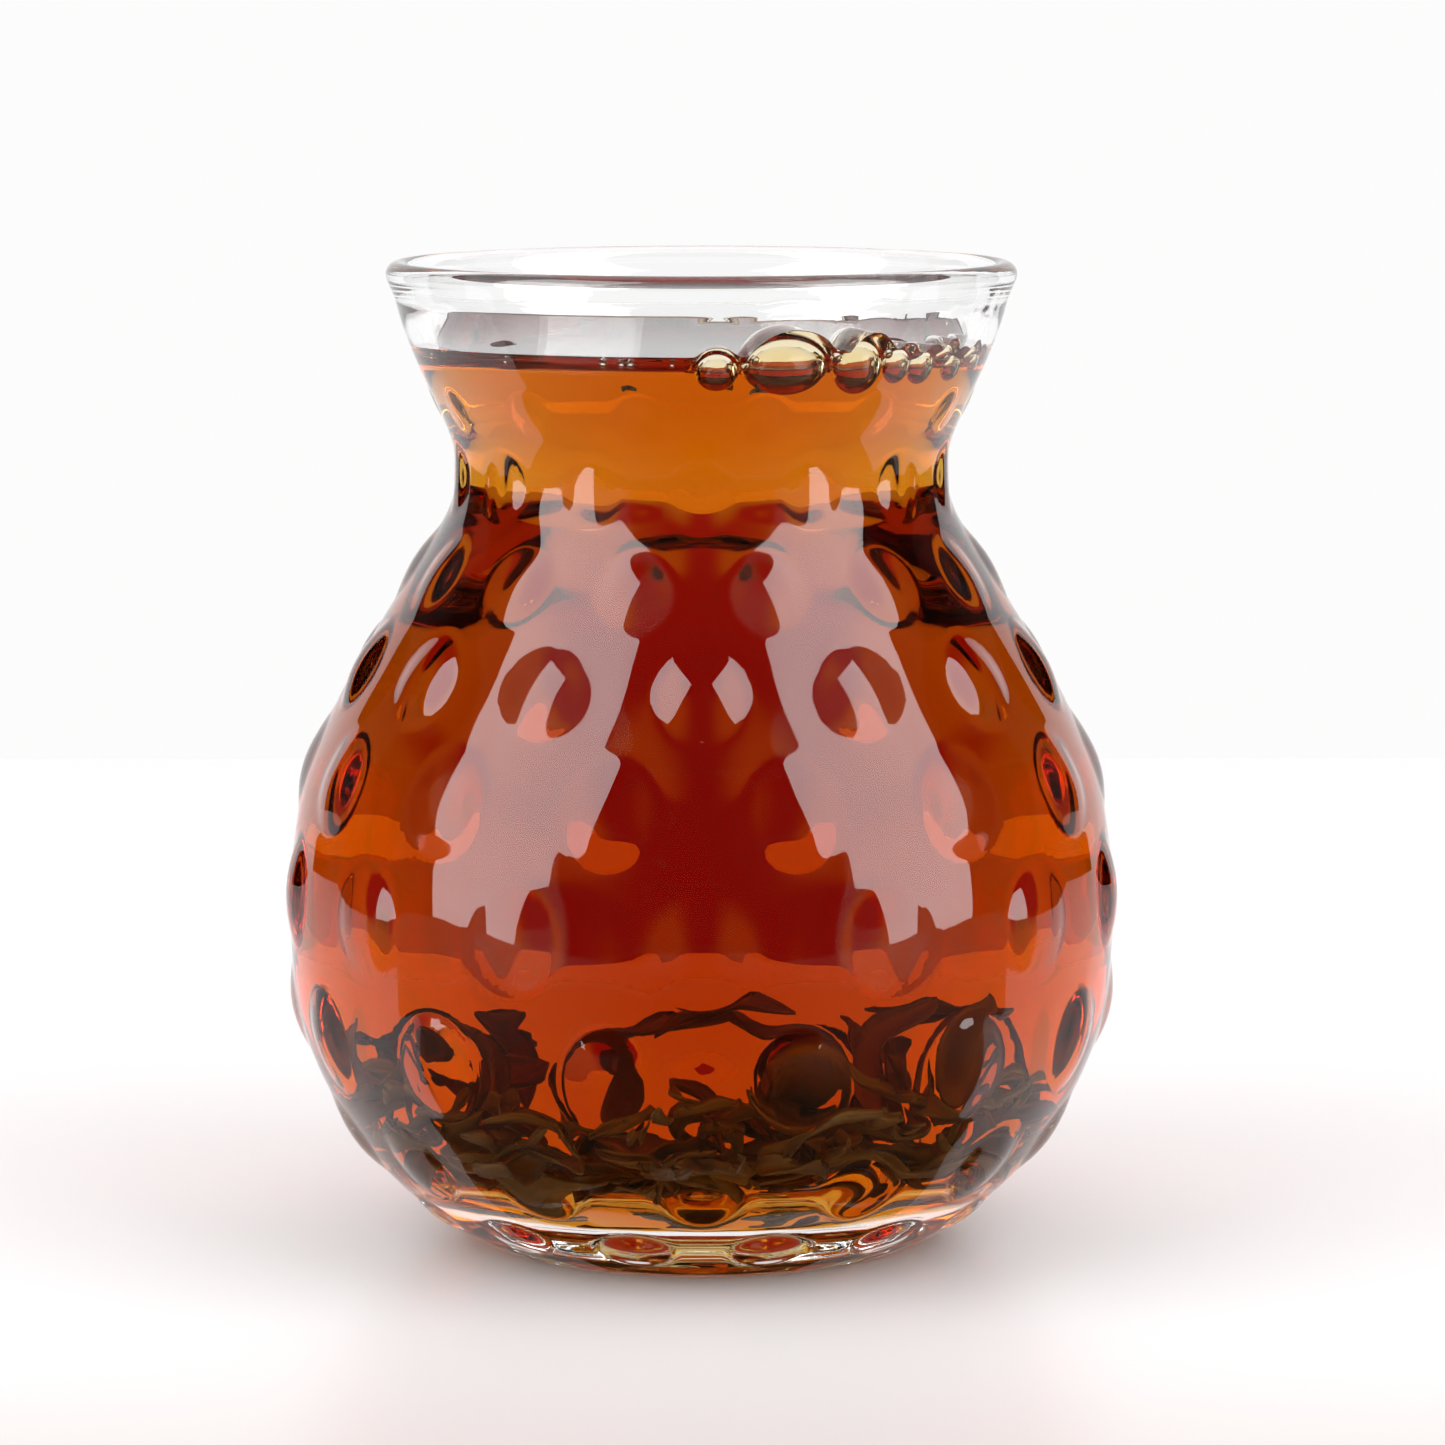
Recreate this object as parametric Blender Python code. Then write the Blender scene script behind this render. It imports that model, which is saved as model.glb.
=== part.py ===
"""A tea glass with oval bumps, round-bellied with a drawn-in neck, filled with dark tea to just under its rim."""

import bisect
import math

import bmesh
import bpy
from mathutils import Matrix, Vector

MM = 0.001

# Outer wall of the glass, height and radius in millimetres, from the resting face up to the rim.
BASE_EDGE = (0.0, 20.8)
HEEL = ((0.35, 21.5), (1.1, 22.85), (2.3, 24.65), (4.2, 26.9), (7.0, 29.65), (10.5, 32.1))
BELLY = ((15.0, 34.7), (20.5, 36.55), (26.5, 37.2), (32.0, 37.25), (37.0, 36.7), (41.5, 35.8))
SHOULDER = ((45.5, 34.2), (50.0, 32.05), (55.0, 29.2), (60.5, 25.8))
NECK = ((64.2, 23.5), (66.8, 22.35), (69.2, 22.0), (71.8, 22.35), (75.0, 23.6))
MOUTH = ((78.6, 25.3), (82.2, 26.7), (84.7, 27.4))

# Rim: a fully rounded bead, a little thicker than the wall below it.
RIM_CENTRE_Z = 86.8
RIM_CENTRE_R = 27.05
RIM_RADIUS = 1.15
RIM_STEPS = 6

# Inner wall, height and radius in millimetres, from the rim down to the thick floor.
INNER_MOUTH = ((84.4, 25.15), (80.0, 23.5), (75.3, 21.4))
INNER_NECK = ((71.7, 19.9), (68.5, 19.5), (64.6, 20.5))
INNER_SHOULDER = ((58.4, 24.2), (51.2, 28.1), (43.8, 32.1))
INNER_BELLY = ((36.3, 33.8), (28.5, 34.3), (20.8, 33.4))
INNER_FLOOR = ((14.4, 31.0), (9.9, 26.5), (7.5, 19.5))
FLOOR_Z = 7.0

# Bumps: rings of low ovals that stand out, each ring turned half a pitch from the one below.
BUMPS_ROUND = 14
SEGMENTS = 84
# Ring height, half-width, half-height and rise in millimetres, half pitches of turn, and how
# softly the bump's edge runs out.
BUMP_RINGS = (
    (3.4, 3.5, 2.9, 0.35, 1, 1.4),
    (10.0, 4.1, 4.6, 0.60, 0, 1.35),
    (20.2, 4.4, 5.4, 0.72, 1, 1.35),
    (32.2, 4.4, 5.4, 0.70, 0, 1.3),
    (43.2, 4.3, 5.2, 0.62, 1, 1.3),
    (52.5, 4.0, 4.7, 0.80, 0, 1.25),
    (61.0, 3.5, 4.1, 0.50, 1, 1.3),
    (69.0, 3.0, 3.6, 0.42, 0, 1.35),
    (75.4, 2.4, 2.6, 0.25, 1, 1.6),
)
ROWS_BETWEEN_RINGS = 5

# Tea: fills the glass to its level, with a gap to the wall, and climbs the wall a little.
TEA_LEVEL = 80.1
TEA_GAP = 0.35
TEA_SEGMENTS = 42
MENISCUS_RISE = 1.1
MENISCUS_REACH = 1.6
# Bubbles against the wall, each an angle round from the front, a radius, a stretch along
# the wall and the height of its middle over the tea's level.
BUBBLES = (
    (3.2, 1.75, 1.0, 0.05),
    (18.8, 2.65, 1.36, 0.55),
    (36.2, 2.30, 1.0, 0.35),
    (45.5, 1.45, 1.0, 0.25),
    (54.6, 1.45, 1.0, 0.05),
    (59.8, 1.00, 1.0, 1.05),
    (67.0, 1.25, 1.0, 0.05),
    (76.0, 0.95, 1.0, 0.45),
)
# Swell: where the bubbles lift the tea against the wall, in degrees, and by how much.
SWELL_START, SWELL_TOP, SWELL_END = -8.0, 25.0, 87.0
SWELL_RISE = 1.9


def clear_scene():
    for item in list(bpy.data.objects):
        bpy.data.objects.remove(item, do_unlink=True)


def spline(points, steps):
    """Points along a smooth curve through the given ones, with the same number of steps a span."""
    ends = [points[0]] + list(points) + [points[-1]]
    found = []
    for k in range(1, len(ends) - 2):
        a, b, c, d = (Vector(ends[k + j]) for j in (-1, 0, 1, 2))
        for step in range(steps):
            t = step / steps
            smooth = 2 * b + (c - a) * t + (2 * a - 5 * b + 4 * c - d) * t * t
            found.append((smooth + (3 * b - a - 3 * c + d) * t**3) * 0.5)
    found.append(Vector(points[-1]))
    return found


def lengths(points):
    """Length along the line from its first point to each point."""
    found = [0.0]
    for before, after in zip(points, points[1:]):
        found.append(found[-1] + (after - before).length)
    return found


def between(values, keys, key):
    """The value at a key, read between the two nearest of a rising list of keys."""
    k = min(max(bisect.bisect_right(keys, key), 1), len(keys) - 1)
    share = (key - keys[k - 1]) / (keys[k] - keys[k - 1])
    return values[k - 1] + (values[k] - values[k - 1]) * min(max(share, 0.0), 1.0)


class OuterWall:
    """The outer wall as a fine line of height and radius, and the rings of bumps on it."""

    def __init__(self):
        self.line = spline((BASE_EDGE,) + HEEL + BELLY + SHOULDER + NECK + MOUTH, 10)
        self.sums = lengths(self.line)
        heights = [point[0] for point in self.line]
        self.rings = []
        for height, *sizes in BUMP_RINGS:
            along = between(self.sums, heights, height)
            self.rings.append((along, self.at(along)[1], *sizes))

    def at(self, along):
        return between(self.line, self.sums, along)

    def across(self, along):
        """The direction out of the wall at a length along it, as height and radius."""
        run = self.at(along + 0.05) - self.at(along - 0.05)
        return Vector((-run[1], run[0])).normalized()

    def stops(self):
        """Lengths along the wall that get a row: evenly from each ring of bumps to the next."""
        marks = [ring[0] for ring in self.rings]
        found = [0.0, self.sums[10], (self.sums[10] + marks[0]) / 2]
        for low, high in zip(marks, marks[1:]):
            found += [low + (high - low) * k / ROWS_BETWEEN_RINGS for k in range(ROWS_BETWEEN_RINGS)]
        rest = self.sums[-1] - marks[-1]
        return found + [marks[-1] + rest * k / 3 for k in range(4)]

    def rise(self, along, angle):
        """How far the wall stands out, at a length along it and an angle round."""
        pitch = 2 * math.pi / BUMPS_ROUND
        found = 0.0
        for middle, radius, half_width, half_height, rise, turn, softness in self.rings:
            nearest = (angle - (turn - 1) * pitch / 2) % pitch - pitch / 2
            up_by = (along - middle) / half_height
            distance = math.hypot(nearest * radius / half_width, up_by)
            found += rise * max(0.0, 1 - distance * distance) ** softness
        return found


def rim_line():
    """The bead, from outside over the top to the inside."""
    found = []
    for step in range(RIM_STEPS + 1):
        angle = math.radians(-20 + 220 * step / RIM_STEPS)
        height = RIM_CENTRE_Z + RIM_RADIUS * math.sin(angle)
        found.append(Vector((height, RIM_CENTRE_R + RIM_RADIUS * math.cos(angle))))
    return found


def inner_line():
    """The inner wall from under the bead down to the middle of the floor."""
    line = INNER_MOUTH + INNER_NECK + INNER_SHOULDER + INNER_BELLY + INNER_FLOOR
    return [Vector(point) for point in line + ((FLOOR_Z, 0),)]


def radius_at(line, height):
    """Radius of a line of height and radius, read between its points."""
    for low, high in zip(line, line[1:]):
        if min(low[0], high[0]) <= height <= max(low[0], high[0]):
            share = (height - low[0]) / (high[0] - low[0])
            return low[1] + share * (high[1] - low[1])
    return line[-1][1]


def normals_of(line):
    """The direction across a line at each point, as height and radius, pointing outwards."""
    found = []
    for k in range(len(line)):
        run = line[min(k + 1, len(line) - 1)] - line[max(k - 1, 0)]
        found.append(Vector((-run[1], run[0])).normalized())
    return found


def lathe(rows, segments):
    """One body turned from rows of height and radius that start and end on the axis."""
    mesh = bmesh.new()
    points = [mesh.verts.new((row[1] * MM, 0, row[0] * MM)) for row in rows]
    edges = [mesh.edges.new(pair) for pair in zip(points, points[1:])]
    bmesh.ops.spin(
        mesh,
        geom=points + edges,
        axis=(0, 0, 1),
        cent=(0, 0, 0),
        angle=2 * math.pi,
        steps=segments,
        use_merge=True,
    )
    bmesh.ops.remove_doubles(mesh, verts=mesh.verts, dist=1e-6)
    bmesh.ops.recalc_face_normals(mesh, faces=mesh.faces)
    return mesh


def from_front(point):
    """Angle of a point round the axis, from the front and towards the right."""
    return math.atan2(point.x, -point.y)


def material(name, colour, roughness, alpha):
    made = bpy.data.materials.new(name)
    made.use_nodes = True
    surface = made.node_tree.nodes["Principled BSDF"]
    surface.inputs["Base Color"].default_value = (*colour, 1)
    surface.inputs["Roughness"].default_value = roughness
    surface.inputs["Metallic"].default_value = 0
    surface.inputs["Alpha"].default_value = alpha
    made.diffuse_color = (*colour, alpha)
    return made


def finished(mesh, name, surface):
    """The mesh as one named object with its material, shaded smooth."""
    for face in mesh.faces:
        face.smooth = True
    data = bpy.data.meshes.new(name)
    mesh.to_mesh(data)
    mesh.free()
    data.materials.append(surface)
    made = bpy.data.objects.new(name, data)
    bpy.context.scene.collection.objects.link(made)
    return made


def build_glass():
    """The glass: outer wall with its bumps, bead, plain inner wall and thick floor."""
    wall = OuterWall()
    stops = wall.stops()
    outer = [wall.at(along) for along in stops]
    mesh = lathe([Vector((0, 0))] + outer + rim_line() + inner_line(), SEGMENTS)
    bumpy = outer[1:-1]
    for point in mesh.verts:
        here = Vector((point.co.z, point.co.xy.length)) / MM
        off, k = min(((row - here).length, k) for k, row in enumerate(bumpy))
        if off > 0.01:
            continue
        along = stops[k + 1]
        angle = from_front(point.co)
        height, radius = bumpy[k] + wall.across(along) * wall.rise(along, angle)
        away = Vector((math.sin(angle), -math.cos(angle), 0))
        point.co = (away * radius + Vector((0, 0, height))) * MM
    return finished(mesh, "glass", material("clear_glass", (0.90, 0.93, 0.92), 0.03, 0.35))


def tea_wall():
    """The inner wall moved in by the gap, which the tea's side follows."""
    line = inner_line()
    moved = [point + way * TEA_GAP for point, way in zip(line, normals_of(line))]
    moved[-1] = Vector((FLOOR_Z + TEA_GAP, 0))
    return moved


def swell(angle):
    """How much higher the tea stands against the wall, where the bubbles lift it."""
    off = math.degrees(angle) - SWELL_TOP
    off /= SWELL_END - SWELL_TOP if off > 0 else SWELL_TOP - SWELL_START
    return SWELL_RISE * math.cos(off * math.pi / 2) ** 2 if abs(off) < 1 else 0.0


def build_tea():
    """The tea: a body to the drink's level, its edge climbing the wall, and its bubbles."""
    wall = tea_wall()
    edge = radius_at(wall, TEA_LEVEL)
    top = [Vector((TEA_LEVEL, edge - inset)) for inset in (edge, 7.0, 3.4, 1.6, 0.7, 0.0)]
    below = [point for point in wall if point[0] < TEA_LEVEL - 1]
    mesh = lathe(top + below, TEA_SEGMENTS)
    for point in mesh.verts:
        if abs(point.co.z / MM - TEA_LEVEL) > 1e-3 or point.co.xy.length < 1e-6:
            continue
        angle = from_front(point.co)
        inset = edge - point.co.xy.length / MM
        reach = MENISCUS_REACH + swell(angle) * 0.6
        height = TEA_LEVEL + (MENISCUS_RISE + swell(angle)) * math.exp(-inset / reach)
        radius = radius_at(wall, height) if inset < 1e-3 else edge - inset
        away = Vector((math.sin(angle), -math.cos(angle), 0))
        point.co = (away * radius + Vector((0, 0, height))) * MM
    body = finished(mesh, "tea", material("brewed_tea", (0.42, 0.09, 0.012), 0.05, 0.85))
    group = bpy.data.collections.new("bubbles")
    for number, (turn, radius, stretch, lift) in enumerate(BUBBLES):
        angle = math.radians(turn)
        height = TEA_LEVEL + lift
        away = radius_at(wall, height) - radius * 1.09 - 0.05
        dome = bmesh.new()
        place = Matrix.Rotation(angle, 4, "Z") @ Matrix.Translation((0, -away * MM, height * MM))
        size = Matrix.Diagonal((radius * stretch * MM, radius * MM, radius * MM, 1))
        bmesh.ops.create_uvsphere(dome, u_segments=12, v_segments=7, radius=1, matrix=place @ size)
        made = finished(dome, f"bubble_{number}", body.active_material)
        bpy.context.scene.collection.objects.unlink(made)
        group.objects.link(made)
    joined = body.modifiers.new("join_bubbles", "BOOLEAN")
    joined.operation = "UNION"
    joined.operand_type = "COLLECTION"
    joined.collection = group
    joined.solver = "EXACT"
    bpy.context.view_layer.update()
    graph = bpy.context.evaluated_depsgraph_get()
    solid = bpy.data.meshes.new_from_object(body.evaluated_get(graph))
    body.modifiers.clear()
    body.data = solid
    for piece in list(group.objects):
        bpy.data.objects.remove(piece, do_unlink=True)
    bpy.data.collections.remove(group)
    return body


clear_scene()
build_glass()
build_tea()
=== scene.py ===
import math
import random

import bmesh
import bpy
import numpy as np
from mathutils import Matrix, Vector


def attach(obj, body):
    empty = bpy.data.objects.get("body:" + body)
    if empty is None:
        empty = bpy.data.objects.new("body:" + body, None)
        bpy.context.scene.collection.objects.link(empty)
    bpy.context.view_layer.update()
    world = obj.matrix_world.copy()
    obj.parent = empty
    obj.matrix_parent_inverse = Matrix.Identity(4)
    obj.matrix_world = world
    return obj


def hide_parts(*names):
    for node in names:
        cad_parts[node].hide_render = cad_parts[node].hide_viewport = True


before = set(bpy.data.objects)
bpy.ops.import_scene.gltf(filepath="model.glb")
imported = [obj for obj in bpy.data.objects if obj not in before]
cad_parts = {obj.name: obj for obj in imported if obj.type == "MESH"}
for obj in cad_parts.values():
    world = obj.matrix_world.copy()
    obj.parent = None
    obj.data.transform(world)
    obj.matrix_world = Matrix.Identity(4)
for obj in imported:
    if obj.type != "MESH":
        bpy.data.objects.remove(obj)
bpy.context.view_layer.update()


# Glass: one piece of clear soda glass, round-bellied with a drawn-in neck, a flared mouth, a
# fully rounded rim and a thick floor. Its outer wall is turned from a profile and carries nine
# rings of low oval bumps; its inner wall is plain. Heights and radii are in millimetres.
MM = 0.001
OUTER_WALL = (
    (0.0, 20.8), (0.35, 21.5), (1.1, 22.85), (2.3, 24.65), (4.2, 26.9), (7.0, 29.65),
    (10.5, 32.1), (15.0, 34.7), (20.5, 36.55), (26.5, 37.2), (32.0, 37.25), (37.0, 36.7),
    (41.5, 35.8), (45.5, 34.2), (50.0, 32.05), (55.0, 29.2), (60.5, 25.8), (64.2, 23.5),
    (66.8, 22.35), (69.2, 22.0), (71.8, 22.35), (75.0, 23.6), (78.6, 25.3), (82.2, 26.7),
    (84.7, 27.4),
)
INNER_WALL = (
    (84.4, 25.15), (80.0, 23.5), (75.3, 21.4), (71.7, 19.9), (68.5, 19.5), (64.6, 20.5),
    (58.4, 24.2), (51.2, 28.1), (43.8, 32.1), (36.3, 33.8), (28.5, 34.3), (20.8, 33.4),
    (14.4, 31.0), (9.9, 26.5), (7.5, 19.5), (7.0, 8.0),
)
RIM_Z, RIM_R, RIM_THICKNESS = 86.8, 27.05, 2.3
FLOOR_Z = 7.0
BUMPS_ROUND = 14
# Height, half-width, half-height, rise, half pitches of turn and softness of edge of each ring.
BUMP_RINGS = (
    (3.4, 3.5, 2.9, 0.35, 1, 1.4), (10.0, 4.1, 4.6, 0.60, 0, 1.35),
    (20.2, 4.4, 5.4, 0.72, 1, 1.35), (32.2, 4.4, 5.4, 0.70, 0, 1.3),
    (43.2, 4.3, 5.2, 0.62, 1, 1.3), (52.5, 4.0, 4.7, 0.80, 0, 1.25),
    (61.0, 3.5, 4.1, 0.50, 1, 1.3), (69.0, 3.0, 3.6, 0.42, 0, 1.35),
    (75.4, 2.4, 2.6, 0.25, 1, 1.6),
)
AROUND = 280
OUTER_STEP, INNER_STEP, FINE_STEP = 0.48, 1.1, 0.2
RIM_START, RIM_END, RIM_ROWS = -20, 200, 19
# Level of the tea, how far it climbs the wall, how soon it levels out, the film of tea over a
# bubble, and the distance of a bubble's middle from the wall in its own radii.
TEA_LEVEL, MENISCUS_RISE, MENISCUS_REACH = 80.1, 1.1, 1.6
FILM = 0.14
OFF_WALL = 1.09
# Angle from the front, radius across, stretch along the wall, stretch upwards and lift of
# each bubble at the tea's edge.
BUBBLES = (
    (3.2, 1.75, 1.05, 1.0, 0.05), (18.8, 2.55, 1.45, 1.03, 0.55), (36.2, 2.15, 1.05, 1.15, 0.35),
    (45.6, 1.30, 1.0, 1.25, 0.25), (53.6, 1.35, 1.0, 1.15, 0.05), (59.8, 0.95, 1.0, 1.0, 1.05),
    (65.4, 1.15, 1.0, 1.1, -0.1), (71.5, 0.80, 1.0, 1.0, 0.9), (76.5, 0.95, 1.0, 1.0, 0.2),
    (10.8, 0.42, 1.0, 1.0, 0.9), (28.6, 0.50, 1.0, 1.0, 1.0), (41.2, 0.42, 1.0, 1.0, 1.2),
)


def curve_through(points, step):
    """Points about one step apart on a smooth curve through the given heights and radii."""
    knots = np.array(points, float)
    ends = np.vstack([knots[:1], knots, knots[-1:]])
    found = []
    for a, b, c, d in zip(ends, ends[1:], ends[2:], ends[3:]):
        count = max(1, round(np.hypot(*(c - b)) / step))
        for t in np.arange(count)[:, None] / count:
            bend = (2 * a - 5 * b + 4 * c - d) * t**2 + (3 * b - a - 3 * c + d) * t**3
            found.append((2 * b + (c - a) * t + bend) / 2)
    return np.vstack(found + [knots[-1]])


def run_lengths(line):
    return np.concatenate([[0], np.cumsum(np.hypot(*np.diff(line, axis=0).T))])


def across(line):
    """Unit directions across a line of heights and radii, to the right of the way it runs."""
    run = np.gradient(line, axis=0)
    side = np.stack([-run[:, 1], run[:, 0]], axis=1)
    return side / np.linalg.norm(side, axis=1)[:, None]


inner_fine = curve_through(INNER_WALL, FINE_STEP)


def inner_radius(height):
    return np.interp(height, inner_fine[::-1, 0], inner_fine[::-1, 1])


def bubble_middles():
    """Angle, distance from the axis and height of each bubble's middle, as it rests on the wall."""
    found = []
    for turn, radius, _, _, lift in BUBBLES:
        height = TEA_LEVEL + lift
        away = inner_radius(height) - (radius + FILM) * OFF_WALL
        found.append((math.radians(turn), away, height))
    return found


# How sharply the surface turns up at a bubble, and how steeply it falls beside one.
BLEND, FALL = 5, 1.6


def tea_height(angle, radius):
    """Height of the tea's surface: level, climbing the wall and drawn up over each bubble."""
    inset = inner_radius(TEA_LEVEL + MENISCUS_RISE) - radius
    level = TEA_LEVEL + MENISCUS_RISE * np.exp(-inset / MENISCUS_REACH)
    heaps = np.exp(BLEND * (level - TEA_LEVEL))
    for (turn, away, height), (_, size, along, up, _) in zip(bubble_middles(), BUBBLES):
        off = (angle - turn + math.pi) % (2 * math.pi) - math.pi
        side, out = radius * np.sin(off), radius * np.cos(off) - away
        far = np.hypot(side / (size * along + FILM), out / (size + FILM))
        # Between bubble and wall the film stays up, as it does in a corner.
        far = np.where(out > 0, np.abs(side) / (size * along + FILM), far)
        dome = np.sqrt(np.clip(1 - far**2, 0, 1)) - FALL * np.clip(far - 1, 0, None)
        heaps = heaps + np.exp(BLEND * (height + (size * up + FILM) * dome - TEA_LEVEL))
    return TEA_LEVEL + np.log(heaps) / BLEND


CONTACT_ROUNDS = 6


def contact_height(angle):
    """Height at which the tea's surface meets the inner wall, found in a few rounds."""
    height = np.full_like(angle, TEA_LEVEL + MENISCUS_RISE)
    for _ in range(CONTACT_ROUNDS):
        height = tea_height(angle, inner_radius(height))
    return height


def bump_rise(line, along, angle):
    """How far the outer wall stands out at a length along the line and an angle round."""
    sums = run_lengths(line)
    pitch = 2 * math.pi / BUMPS_ROUND
    found = np.zeros_like(along)
    for height, half_width, half_height, rise, turn, softness in BUMP_RINGS:
        middle = np.interp(height, line[:, 0], sums)
        radius = np.interp(height, line[:, 0], line[:, 1])
        nearest = (angle - (turn - 1) * pitch / 2) % pitch - pitch / 2
        far = np.hypot(nearest * radius / half_width, (along - middle) / half_height)
        found += rise * np.clip(1 - far**2, 0, 1) ** softness
    return found


def mesh_from(name, form):
    """A new mesh of a finished form, which is used up."""
    mesh = bpy.data.meshes.new(name)
    form.to_mesh(mesh)
    form.free()
    return mesh


def turned(name, rows):
    """A mesh turned from rows of height and radius, and for each point its row and its angle."""
    form = bmesh.new()
    layer = form.verts.layers.int.new("row")
    points = []
    for number, (height, radius) in enumerate(rows):
        point = form.verts.new((0, -radius * MM, height * MM))
        point[layer] = number
        points.append(point)
    edges = [form.edges.new(pair) for pair in zip(points, points[1:])]
    bmesh.ops.spin(
        form,
        geom=points + edges,
        axis=(0, 0, 1),
        cent=(0, 0, 0),
        angle=2 * math.pi,
        steps=AROUND,
        use_merge=True,
    )
    bmesh.ops.remove_doubles(form, verts=form.verts, dist=1e-7)
    bmesh.ops.recalc_face_normals(form, faces=form.faces)
    mesh = mesh_from(name, form)
    row = np.zeros(len(mesh.vertices), np.int32)
    mesh.attributes["row"].data.foreach_get("value", row)
    mesh.attributes.remove(mesh.attributes["row"])
    place = np.zeros(len(mesh.vertices) * 3, np.float32)
    mesh.vertices.foreach_get("co", place)
    place = place.reshape(-1, 3)
    return mesh, row, np.arctan2(place[:, 0], -place[:, 1]).astype(float)


def put(mesh, heights, radii, angles):
    """Moves a turned mesh's points to new heights and radii at their own angles."""
    place = np.stack([radii * np.sin(angles), -radii * np.cos(angles), heights], axis=1) * MM
    mesh.vertices.foreach_set("co", place.astype(np.float32).ravel())
    mesh.update()
    mesh.shade_smooth()


def show(name, mesh, replaced=None):
    """Puts a finished mesh in the scene, in place of a solid where one is named."""
    piece = bpy.data.objects.new(name, mesh)
    bpy.context.scene.collection.objects.link(piece)
    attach(piece, "root")
    if replaced:
        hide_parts(replaced)


underside = np.array([(0, 0), (0, 10)])
outer = curve_through(OUTER_WALL, OUTER_STEP)
rim_turns = np.radians(np.linspace(RIM_START, RIM_END, RIM_ROWS))
rim = np.stack([np.sin(rim_turns), np.cos(rim_turns)], axis=1) * RIM_THICKNESS / 2
rim = rim + (RIM_Z, RIM_R)
# The inner wall has closer rows near the tea's edge, some dry above it and some wet below it.
DRY_ROWS, WET_ROWS, WET_STEP, ROW_GAP = 9, 8, 0.35, 0.5
contact_level = float(contact_height(np.array([math.pi]))[0])
dry_heights = np.linspace(INNER_WALL[0][0], contact_level, DRY_ROWS)
wet_heights = contact_level - WET_STEP * np.arange(1, WET_ROWS + 1)
inner_heights = np.concatenate([dry_heights, wet_heights])
inner_top = np.stack([inner_heights, inner_radius(inner_heights)], axis=1)
inner_rest = curve_through(INNER_WALL, INNER_STEP)
inner_rest = inner_rest[inner_rest[:, 0] < inner_heights[-1] - ROW_GAP]
floor_rows = np.array([(FLOOR_Z, 4.0), (FLOOR_Z, 0.0)])
glass_rows = np.vstack([underside, outer, rim, inner_top, inner_rest, floor_rows])
glass_mesh, glass_row, glass_angle = turned("tea_glass", glass_rows)
heights, radii = glass_rows[glass_row].T
sums, ways = run_lengths(outer), across(outer)
outer_row = glass_row - len(underside)
raised = (outer_row > 0) & (outer_row < len(outer) - 1)
rise = bump_rise(outer, sums[outer_row[raised]], glass_angle[raised])
heights[raised] += ways[outer_row[raised], 0] * rise
radii[raised] += ways[outer_row[raised], 1] * rise
# Near the tea's edge the inner wall's rows follow the edge up and down, and less further off.
FOLLOW_DEPTH, FOLLOW_FADE = 12, 2.8
first_inner = len(underside) + len(outer) + len(rim)
inner_points = (glass_row >= first_inner) & (heights > contact_level - FOLLOW_DEPTH)
lift = contact_height(glass_angle[inner_points]) - contact_level
near = np.exp(-(((heights[inner_points] - contact_level) / FOLLOW_FADE) ** 2))
heights[inner_points] += lift * near
radii[inner_points] = inner_radius(heights[inner_points])
put(glass_mesh, heights, radii, glass_angle)
show("tea_glass", glass_mesh, "glass")


class Socket:
    """A shader socket that takes part in Python expressions, and makes every other node."""

    def __init__(self, tree, socket):
        self.tree = tree
        self.socket = socket

    @classmethod
    def start(cls, name):
        """A new material, its tree's wrapper and its surface shader."""
        made = bpy.data.materials.new(name)
        made.use_nodes = True
        return made, cls(made.node_tree, None), made.node_tree.nodes["Principled BSDF"]

    def feed(self, target, value):
        if isinstance(value, Socket):
            self.tree.links.new(value.socket, target)
        else:
            target.default_value = value

    def node(self, kind, settings=None, values=None, output=0):
        """The output of a new node of a kind, with its settings and its sockets' values."""
        made = self.tree.nodes.new("ShaderNode" + kind)
        for key, value in (settings or {}).items():
            setattr(made, key, value)
        for key, value in (values or {}).items():
            self.feed(made.inputs[key], value)
        return Socket(self.tree, made.outputs[output])

    def math(self, operation, first, second):
        return self.node("Math", {"operation": operation}, {0: first, 1: second})

    def __add__(self, other):
        return self.math("ADD", self, other)

    def __radd__(self, other):
        return self.math("ADD", other, self)

    def __mul__(self, other):
        return self.math("MULTIPLY", self, other)

    def __rmul__(self, other):
        return self.math("MULTIPLY", other, self)

    def mix(self, low, high):
        """A colour between two, with this socket as the share of the second."""
        return self.node("Mix", {"data_type": "RGBA"}, {0: self, 6: low, 7: high}, 2)

    def noise(self, scale, detail=2.0):
        place = self.node("TexCoord", output=3)
        return self.node("TexNoise", None, {"Vector": place, "Scale": scale, "Detail": detail})

    def bump(self, height, strength, distance):
        values = {"Height": height, "Strength": strength, "Distance": distance}
        return self.node("Bump", None, values)


STREAK_SCALE, STREAK_ROUGHNESS = 45.0, 0.006
RIPPLE_SCALE, RIPPLE_DEPTH = 95.0, 0.0006


def clear_material(name, ior, ripple, tint=(0.975, 0.985, 0.985, 1)):
    """A clear, polished material with faint streaks of tint and a slightly uneven surface."""
    made, tree, surface = Socket.start(name)
    streaks = tree.noise(STREAK_SCALE)
    surface.inputs["Transmission Weight"].default_value = 1
    surface.inputs["IOR"].default_value = ior
    tree.feed(surface.inputs["Base Color"], streaks.mix((1, 1, 1, 1), tint))
    tree.feed(surface.inputs["Roughness"], streaks * STREAK_ROUGHNESS)
    if ripple:
        waves = tree.noise(RIPPLE_SCALE, 1.0)
        tree.feed(surface.inputs["Normal"], tree.bump(waves, ripple, RIPPLE_DEPTH))
    return made, tree


GLASS_IOR, TEA_IOR = 1.5, 1.333
GLASS_RIPPLE = 0.12
glass_look, _ = clear_material("clear_glass", GLASS_IOR, GLASS_RIPPLE)
glass_mesh.materials.append(glass_look)
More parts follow.
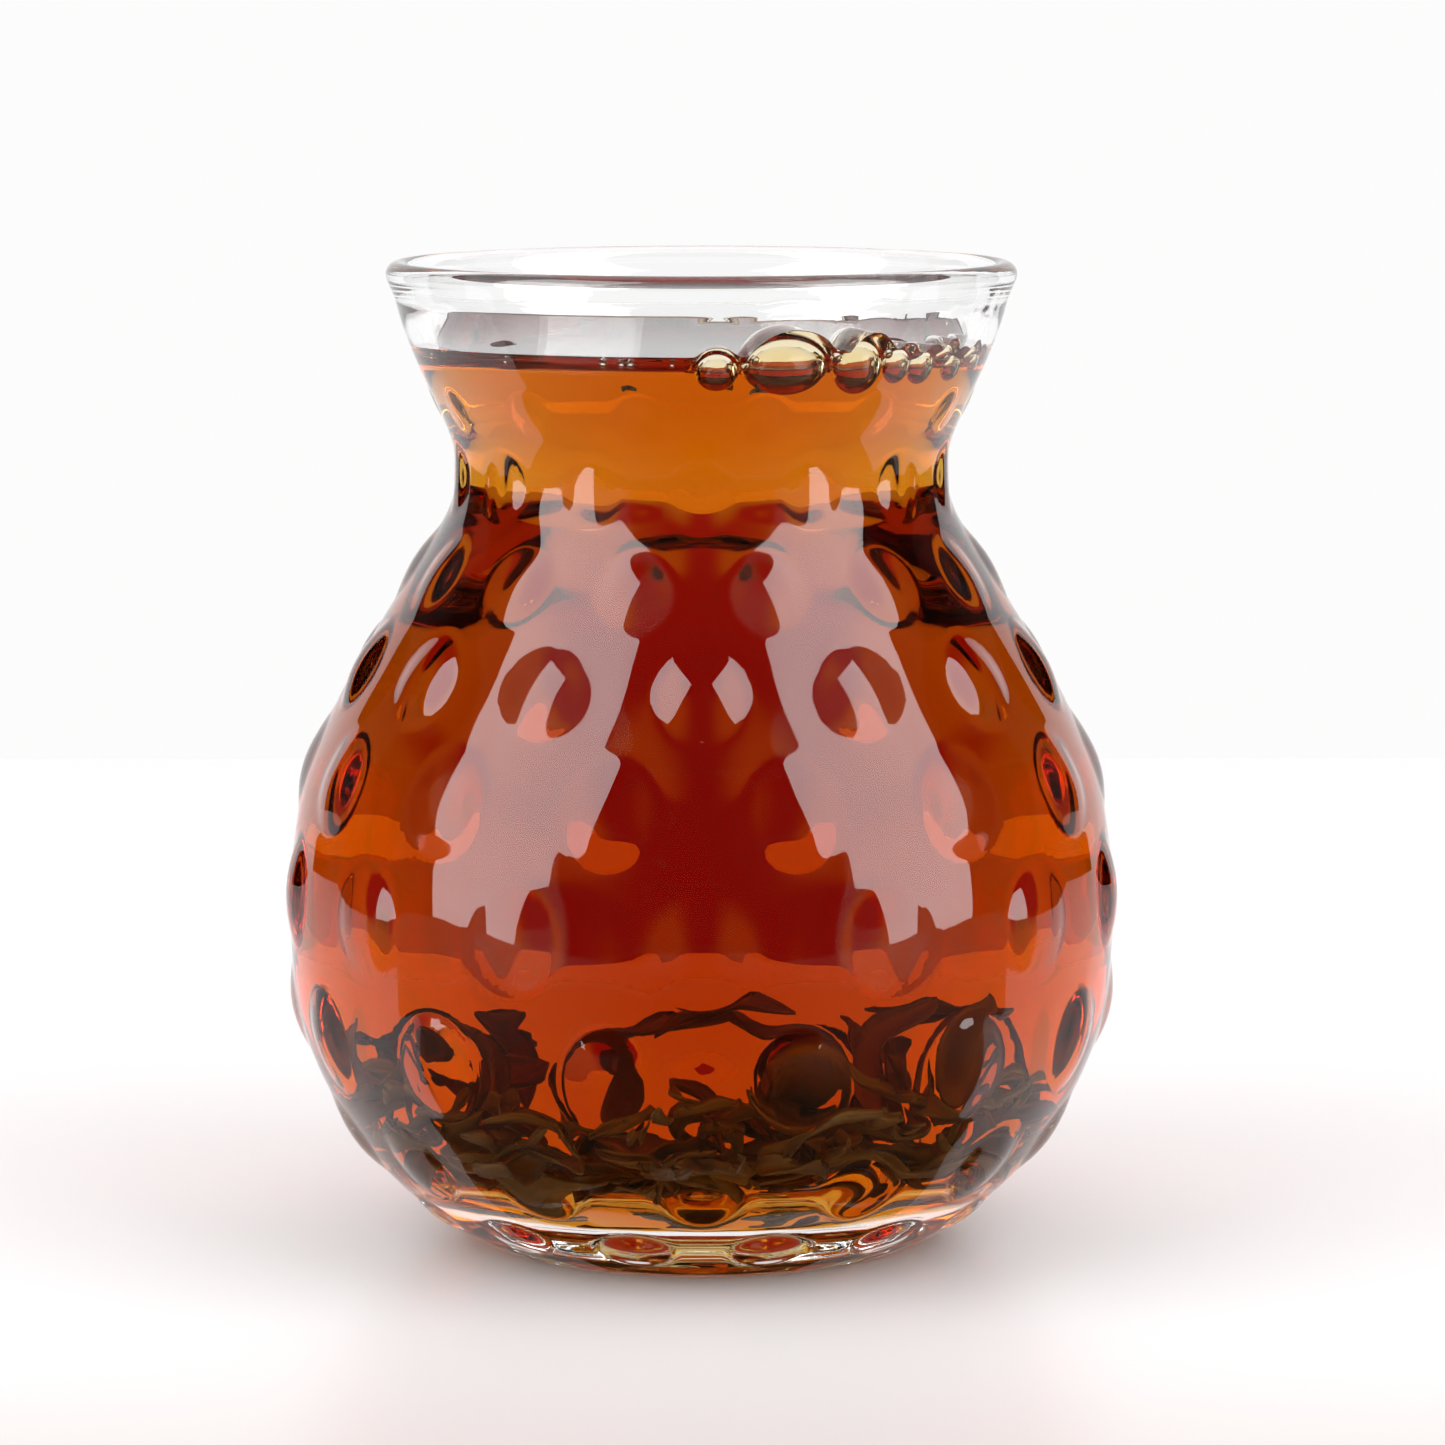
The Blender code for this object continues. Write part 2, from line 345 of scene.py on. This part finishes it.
# Where tea wets the inner wall, the tea's own side bends the light, so the wall is neutral there.
wet, wet_tree, wet_surface = Socket.start("wet_glass")
wet_surface.inputs["Transmission Weight"].default_value = 1
wet_surface.inputs["IOR"].default_value = 1.0
wet_surface.inputs["Roughness"].default_value = 0
wet_surface.inputs["Specular IOR Level"].default_value = 0
wet_tint = wet_tree.noise(STREAK_SCALE).mix((1, 1, 1, 1), (0.995, 0.995, 0.995, 0.995))
wet_tree.feed(wet_surface.inputs["Base Color"], wet_tint)
glass_mesh.materials.append(wet)
first_wet = first_inner + DRY_ROWS - 1
for face in glass_mesh.polygons:
    face.material_index = int(min(glass_row[k] for k in face.vertices) >= first_wet)


# Tea: dark red-brown brewed tea that fills the glass to its level, curves up at the wall and is
# drawn over the bubbles at its front-right edge. The bubbles are hollows in it under a thin film.
# It reaches just into the wall, so that no air shows between tea and glass.
REACH_INTO_WALL = 0.06
# How far inside the edge each ring of the tea's surface lies: wide apart in the middle, close
# where the bubbles are. Their heights are worked out later, so they start well above the side.
insets = np.concatenate([[23, 20, 17, 14, 11.5, 9.5, 8.2], np.arange(7.2, 0.1, -0.24), [0]])
HEIGHT_TO_COME = 1000.0
SIDE_STEP, SIDE_DROP = 0.8, 1.2
edge_start = float(inner_radius(contact_level))
top_rows = np.stack([np.full(len(insets), HEIGHT_TO_COME), edge_start - insets], axis=1)
top_rows[0, 1] = 0
side_line = curve_through(INNER_WALL, SIDE_STEP)
side_line = side_line[side_line[:, 0] < contact_level - SIDE_DROP]
side_rows = side_line + across(side_line) * -REACH_INTO_WALL
tea_rows = np.vstack([top_rows, side_rows, [(FLOOR_Z - REACH_INTO_WALL, 0)]])
tea_mesh, tea_row, tea_angle = turned("brewed_tea", tea_rows)
heights, radii = tea_rows[tea_row].T
on_top = tea_row < len(insets)
contact = contact_height(tea_angle[on_top])
edge = inner_radius(contact)
# The rings widen with the wavy edge, the outermost ones most.
WIDENING = 4
radii[on_top] += (edge - edge_start) * (radii[on_top] / edge_start) ** WIDENING
heights[on_top] = tea_height(tea_angle[on_top], radii[on_top])
rim_points = tea_row == len(insets) - 1
heights[rim_points] = contact_height(tea_angle[rim_points])
radii[rim_points] = inner_radius(heights[rim_points]) + REACH_INTO_WALL
put(tea_mesh, heights, radii, tea_angle)
hollows = list(zip(bubble_middles(), BUBBLES))
# Tiny bubbles along the rest of the edge, at these angles from the front.
TINY_BUBBLES = (-44.0, -20.5, -16.5, -14.6, -6.0, 88.0, 101.0, -72.0)
TINY_LIFT, TINY_GAP = 0.35, 0.12
for turn in TINY_BUBBLES:
    size = 0.2 + 0.12 * math.sin(turn) ** 2
    height = TEA_LEVEL + TINY_LIFT
    away = float(inner_radius(height)) - size * OFF_WALL - TINY_GAP
    hollows.append(((math.radians(turn), away, height), (turn, size, 1.0, 1.0, 0)))
hollow_form = bmesh.new()
for (turn, away, height), (_, size, along, up, _) in hollows:
    place = Matrix.Rotation(turn, 4, "Z") @ Matrix.Translation((0, -away * MM, height * MM))
    form = Matrix.Diagonal((size * along * MM, size * MM, size * up * MM, 1))
    bmesh.ops.create_uvsphere(
        hollow_form, u_segments=40, v_segments=24, radius=1, matrix=place @ form
    )
bmesh.ops.reverse_faces(hollow_form, faces=hollow_form.faces)
hollow_mesh = mesh_from("bubble_hollows", hollow_form)
whole_form = bmesh.new()
whole_form.from_mesh(tea_mesh)
whole_form.from_mesh(hollow_mesh)
whole_form.to_mesh(tea_mesh)
whole_form.free()
bpy.data.meshes.remove(hollow_mesh)
tea_mesh.shade_smooth()
first_side = len(insets) - 1
turned_points = len(tea_row)
for face in tea_mesh.polygons:
    if max(face.vertices) < turned_points:
        face.material_index = int(min(tea_row[k] for k in face.vertices) >= first_side)

# How strongly each metre of tea takes up red, green and blue. The shader wants them as a colour
# under one density, which only has to be above all three.
ABSORPTION = (12.5, 51.0, 170.0)
DENSITY = 175.0
TEA_TINT = (1.0, 0.985, 0.96, 1)
for name, ior in (("brewed_tea", TEA_IOR), ("tea_on_glass", TEA_IOR / GLASS_IOR)):
    made, tree = clear_material(name, ior, 0, TEA_TINT)
    colour = [1 - rate / DENSITY for rate in ABSORPTION] + [1]
    body = tree.node("VolumeAbsorption", None, {"Color": colour, "Density": DENSITY})
    tree.feed(made.node_tree.nodes["Material Output"].inputs["Volume"], body)
    tea_mesh.materials.append(made)
show("brewed_tea", tea_mesh, "tea")


# Tea leaves: soaked black leaves, rolled and twisted, heaped on the glass's floor with a few
# standing up into the tea. Each is a thin strip, curled across and bent along its length.
LEAF_SEED = 11
LEAF_THICKNESS = 0.28
WALL_CLEARANCE, FLOOR_CLEARANCE = 0.9, 1.4
draw = random.Random(LEAF_SEED)
leaf_form = bmesh.new()


def add_leaf(middle, length, width, heading, rise, curl, twist, bend):
    """One leaf: a grid narrowed at its ends, rolled, twisted and bent, then given thickness."""
    made = bmesh.ops.create_grid(leaf_form, x_segments=14, y_segments=4, size=0.5)
    turn = Matrix.Rotation(heading, 3, "Z") @ Matrix.Rotation(-rise, 3, "Y")
    for point in made["verts"]:
        u, v = point.co.x * 2, point.co.y * 2
        wide = width / 2 * (1 - abs(u) ** 2.6) ** 0.6 * (1 + 0.25 * math.sin(7 * u + bend * 9))
        roll = v * curl
        side = wide * math.sin(roll) / max(curl, 0.1)
        lift = wide * (1 - math.cos(roll)) / max(curl, 0.1)
        spin = Matrix.Rotation(twist * u, 3, "X") @ Vector((0, side, lift))
        wave = 0.12 * length * math.sin(bend * 3 + u * 3.1)
        along = Vector((u * length / 2, wave, bend * length * 0.22 * (1 - u * u)))
        place = middle + turn @ (along + spin)
        room = float(inner_radius(min(max(place.z, 7.3), 80))) - WALL_CLEARANCE
        reach = place.xy.length
        if reach > room:
            place.x *= room / reach
            place.y *= room / reach
        low = FLOOR_Z + FLOOR_CLEARANCE + 0.0001225 * place.xy.length ** 2.7
        place.z = max(place.z, low)
        point.co = place * MM
    faces = list({face for point in made["verts"] for face in point.link_faces})
    bmesh.ops.solidify(leaf_form, geom=faces, thickness=LEAF_THICKNESS * MM)


HEAP_LEAVES, HEAP_RADIUS = 230, 28
for _ in range(HEAP_LEAVES):
    angle = draw.uniform(0, 2 * math.pi)
    away = HEAP_RADIUS * math.sqrt(draw.random())
    heap = 8.0 + 7.0 * draw.random() ** 1.3 + 1.4 * math.sin(3 * angle + 0.6)
    spot = Vector((away * math.sin(angle), -away * math.cos(angle), heap + 0.0045 * away**2))
    # Most of the leaves at the back are moved to the front, where the heap is seen.
    if spot.y > -4 and draw.random() < 0.7:
        spot.y *= -0.8
    add_leaf(
        spot,
        draw.uniform(4.5, 11.0),
        draw.uniform(1.3, 3.6),
        draw.uniform(0, 2 * math.pi),
        draw.gauss(0.0, 0.35),
        draw.uniform(0.5, 2.6),
        draw.uniform(-2.2, 2.2),
        draw.uniform(-1, 1),
    )
# Leaves that stand up from the heap: two in the middle that spread like branches, a clump at
# the right and one at the left. Place, length, width, heading, slope and curl of each.
STANDING = (
    (-3.5, -2.0, 18.5, 13, 3.0, 0.3, 0.55, 0.9), (3.5, 1.0, 19.0, 14, 3.2, 2.7, 0.5, 1.1),
    (1.5, -3.0, 21.5, 10, 2.6, 0.1, 0.2, 1.3), (13.5, -4.0, 18.5, 12, 3.4, 1.2, 0.9, 1.0),
    (17.0, 2.0, 17.5, 11, 3.0, 0.4, 0.8, 0.8), (10.5, 3.0, 17.0, 10, 2.6, 2.4, 0.9, 1.2),
    (-14.0, 1.0, 15.5, 10, 2.6, 0.8, 0.4, 1.0), (19.5, -3.0, 19.5, 9, 2.4, 1.9, 1.0, 1.0),
)
for x, y, z, length, width, heading, rise, curl in STANDING:
    add_leaf(Vector((x, y, z)), length, width, heading, rise, curl, 0.9, 0.5)
# Scraps of leaf that float under the surface: place and length of each.
SCRAPS = ((-6.0, -20.0, 78.6, 1.8), (4.5, -20.5, 78.4, 1.6), (2.0, -14.0, 79.2, 1.2))
for x, y, z, length in SCRAPS:
    add_leaf(Vector((x, y, z)), length, 0.7, draw.uniform(0, 3), 0.1, 0.6, 0.5, 0.4)
bmesh.ops.recalc_face_normals(leaf_form, faces=leaf_form.faces)
leaf_mesh = mesh_from("tea_leaves", leaf_form)
leaf_mesh.shade_smooth()
leaf_look, tree, surface = Socket.start("soaked_leaf")
veins = tree.noise(520.0, 4.0)
patches = tree.noise(130.0)
brown = patches.mix((0.036, 0.018, 0.014, 1), (0.11, 0.052, 0.034, 1))
tree.feed(surface.inputs["Base Color"], (veins * 0.6).mix(brown, (0.11, 0.05, 0.026, 1)))
tree.feed(surface.inputs["Roughness"], 0.35 + veins * 0.3)
tree.feed(surface.inputs["Normal"], tree.bump(veins, 0.5, 0.0004))
leaf_mesh.materials.append(leaf_look)
show("tea_leaves", leaf_mesh)


# Stage: a white table top with a soft sheen under a white surround, lit from the front left and
# right. Screens and cards that the camera never sees stand round the glass, and what its shine
# and the light through it show comes partly from them. None of it belongs to the object.
TABLE_FRONT, TABLE_BACK, TABLE_SIDE = -0.24, 0.30, 0.9
TABLE_TOP, TABLE_THICKNESS = -0.0002, 0.02
table_middle = (0, (TABLE_FRONT + TABLE_BACK) / 2, TABLE_TOP - TABLE_THICKNESS / 2)
table_size = (2 * TABLE_SIDE, TABLE_BACK - TABLE_FRONT, TABLE_THICKNESS, 1)
table_form = bmesh.new()
bmesh.ops.create_cube(
    table_form, size=1, matrix=Matrix.Translation(table_middle) @ Matrix.Diagonal(table_size)
)
table_mesh = mesh_from("table_top", table_form)
table_look, tree, surface = Socket.start("white_table_painted_shadow")
cloud = tree.noise(6.0)
# Painted shadow: the table's colour is darker and pinker in front of the glass than under and
# behind it, standing in for the glass's shadow there.
depth = tree.node("SeparateXYZ", None, {"Vector": tree.node("TexCoord", output=3)}, 1)
span = {"Value": depth, "From Min": -0.085, "From Max": -0.035}
out_of_painted_shadow = tree.node("MapRange", {"interpolation_type": "SMOOTHSTEP"}, span)
pale = cloud.mix((0.785, 0.77, 0.775, 1), (0.81, 0.795, 0.80, 1))
tree.feed(surface.inputs["Base Color"], out_of_painted_shadow.mix((0.68, 0.64, 0.635, 1), pale))
tree.feed(surface.inputs["Roughness"], 0.27 + cloud * 0.06)
surface.inputs["Specular IOR Level"].default_value = 0.22
table_mesh.materials.append(table_look)
table = bpy.data.objects.new("table_top", table_mesh)
bpy.context.scene.collection.objects.link(table)


def lit_card(name, mesh, colour, strength, seen_by, outer=None, reach=(0, 1), walls=0):
    """A card of one radiance, seen only by the kinds of light named. With an outer colour, that
    one takes over to its sides, its back is clear, and it shows only to light that has crossed
    a number of surfaces."""
    look, tree, _ = Socket.start(name)
    shade = (*colour, 1)
    if outer:
        aside = tree.node("SeparateXYZ", None, {"Vector": tree.node("TexCoord", output=3)})
        aside = tree.math("ABSOLUTE", aside, 0)
        span = {"Value": aside, "From Min": reach[0], "From Max": reach[1]}
        share = tree.node("MapRange", {"interpolation_type": "SMOOTHSTEP"}, span)
        shade = share.mix(shade, (*outer, 1))
    glow = tree.node("Emission", None, {"Color": shade, "Strength": strength})
    if outer:
        crossed = tree.node("LightPath", output=13)
        too_few = tree.math("LESS_THAN", crossed, walls)
        unlit = tree.math("MAXIMUM", tree.node("NewGeometry", output=6), too_few)
        clear = tree.node("BsdfTransparent")
        glow = tree.node("MixShader", None, {0: unlit, 1: glow, 2: clear})
    tree.feed(look.node_tree.nodes["Material Output"].inputs["Surface"], glow)
    mesh.materials.append(look)
    card = bpy.data.objects.new(name, mesh)
    bpy.context.scene.collection.objects.link(card)
    card.visible_camera = False
    card.visible_shadow = False
    card.visible_volume_scatter = False
    card.visible_diffuse = "surfaces" in seen_by
    card.visible_glossy = "reflections" in seen_by
    card.visible_transmission = "refractions" in seen_by


SCREEN_STEPS = 24


def screen(name, azimuths, low, high, away, colour, strength, seen_by):
    """An upright screen on an arc round the glass, of one plain radiance."""
    form = bmesh.new()
    angles = [math.radians(a) for a in np.linspace(*azimuths, SCREEN_STEPS)]
    ends = [[(away * math.sin(a), -away * math.cos(a), z) for a in angles] for z in (low, high)]
    rows = [[form.verts.new(place) for place in row] for row in ends]
    edges = [form.edges.new(pair) for row in rows for pair in zip(row, row[1:])]
    bmesh.ops.bridge_loops(form, edges=edges)
    lit_card(name, mesh_from(name, form), colour, strength, seen_by)


def flat_card(name, place, size, colour, strength, seen_by, **fading):
    """A flat card of a width and a length, turned and moved by a matrix."""
    form = bmesh.new()
    bmesh.ops.create_grid(
        form, x_segments=1, y_segments=1, size=0.5, matrix=place @ Matrix.Diagonal((*size, 1, 1))
    )
    lit_card(name, mesh_from(name, form), colour, strength, seen_by, **fading)


# A dark room round the front and sides and a dark ceiling, seen only in reflections.
DARK, DARK_STRENGTH = (0.5, 0.45, 0.45), 0.006
screen("dark_room", (-137, 137), -0.9, 2.6, 1.25, DARK, DARK_STRENGTH, ("reflections",))
above = Matrix.Translation((0, -0.9, 1.5))
flat_card("dark_ceiling", above, (2, 2), DARK, DARK_STRENGTH, ("reflections",))
# A brown card in front of the glass, seen only in reflections, pale to its sides: a painted
# reflection of the glass's red-brown shadow on the table.
flat_card(
    "painted_floor_shadow",
    Matrix.Translation((0, -0.13, 0.0004)),
    (1.8, 0.22),
    (0.22, 0.11, 0.03),
    0.28,
    ("reflections",),
    outer=(0.9, 0.72, 0.5),
    reach=(0, 0.11),
)
# A card behind the glass, seen only through it and only past five surfaces. Its red middle is a
# painted shadow of the glass on the table behind it, reddened by light through the tea, and
# deepens the red in the middle of the belly.
flat_card(
    "painted_shadow_behind",
    Matrix.Translation((0, 0.121, 0.0005)),
    (0.24, 0.142),
    (0.72, 0.05, 0.05),
    0.62,
    ("refractions",),
    outer=(1, 0.82, 0.72),
    reach=(0.003, 0.015),
    walls=5,
)
# A warm card under and in front of the glass, seen only through it: painted light, standing in for
# the light that the glass and tea throw on the table.
flat_card(
    "painted_caustic_light",
    Matrix.Translation((0, -0.036, -0.0001)),
    (0.24, 0.172),
    (1, 0.88, 0.8),
    0.7,
    ("refractions",),
)
# On each side, a dim screen seen only through the glass, a tall soft light that its shine and
# the light through it show, and a fill light in the same place for the light on surfaces.
LIGHT_AZIMUTH, LIGHT_ELEVATION = 60.5, math.radians(28)
LIGHT_DISTANCE, LIGHT_BASE, LIGHT_SIZE = 0.95, 0.05, (0.68, 1.43)
FILL_OUTWARDS = 1.01
for side in (-1, 1):
    screen(
        f"flag_{side + 1}",
        (side * 100, side * 124),
        -0.5,
        0.9,
        1.1,
        (1, 0.9, 0.85),
        0.22,
        ("refractions",),
    )
    forward = -LIGHT_DISTANCE * math.cos(LIGHT_ELEVATION)
    upward = LIGHT_BASE + LIGHT_DISTANCE * math.sin(LIGHT_ELEVATION)
    place = (
        Matrix.Rotation(math.radians(side * LIGHT_AZIMUTH), 4, "Z")
        @ Matrix.Translation((0, forward, upward))
        @ Matrix.Rotation(math.radians(90) - LIGHT_ELEVATION, 4, "X")
    )
    name = f"soft_light_{side + 1}"
    shown = ("reflections", "refractions")
    flat_card(name, place, LIGHT_SIZE, (1.0, 0.985, 0.97), 5.5, shown)
    name = f"fill_light_{side + 1}"
    place = Matrix.Diagonal((FILL_OUTWARDS, FILL_OUTWARDS, FILL_OUTWARDS, 1)) @ place
    flat_card(name, place, LIGHT_SIZE, (1.0, 0.985, 0.98), 3.0, ("surfaces",))

world = bpy.data.worlds.new("white_surround")
world.use_nodes = True
background = world.node_tree.nodes["Background"]
background.inputs["Color"].default_value = (1, 0.995, 0.995, 1)
background.inputs["Strength"].default_value = 0.98
bpy.context.scene.world = world
bpy.context.scene.view_settings.view_transform = "Standard"
# Light that runs round inside the glass and tea crosses many surfaces before it leaves.
paths = bpy.context.scene.cycles
paths.max_bounces = 20
paths.transmission_bounces = 20
paths.glossy_bounces = 8

# Camera: a little above the rim, looking slightly down, as the photo's. Its focal length and the
# glass's shift to the side of the picture's middle were measured in the photo, in pixels.
FOCAL_PIXELS, FRAME_PIXELS, SENSOR = 5359.0, 1445.0, 36.0
SIDE_PIXELS, LOOK_DOWN = 21.0, 7.8
lens = bpy.data.cameras.new("camera")
lens.sensor_width = SENSOR
lens.lens = SENSOR * FOCAL_PIXELS / FRAME_PIXELS
lens.clip_start = 0.01
camera = bpy.data.objects.new("camera", lens)
camera.location = (0, -0.480, 0.112)
turn_aside = -math.atan(SIDE_PIXELS / FOCAL_PIXELS)
camera.rotation_euler = (math.radians(90 - LOOK_DOWN), 0, turn_aside)
bpy.context.scene.collection.objects.link(camera)
bpy.context.scene.camera = camera
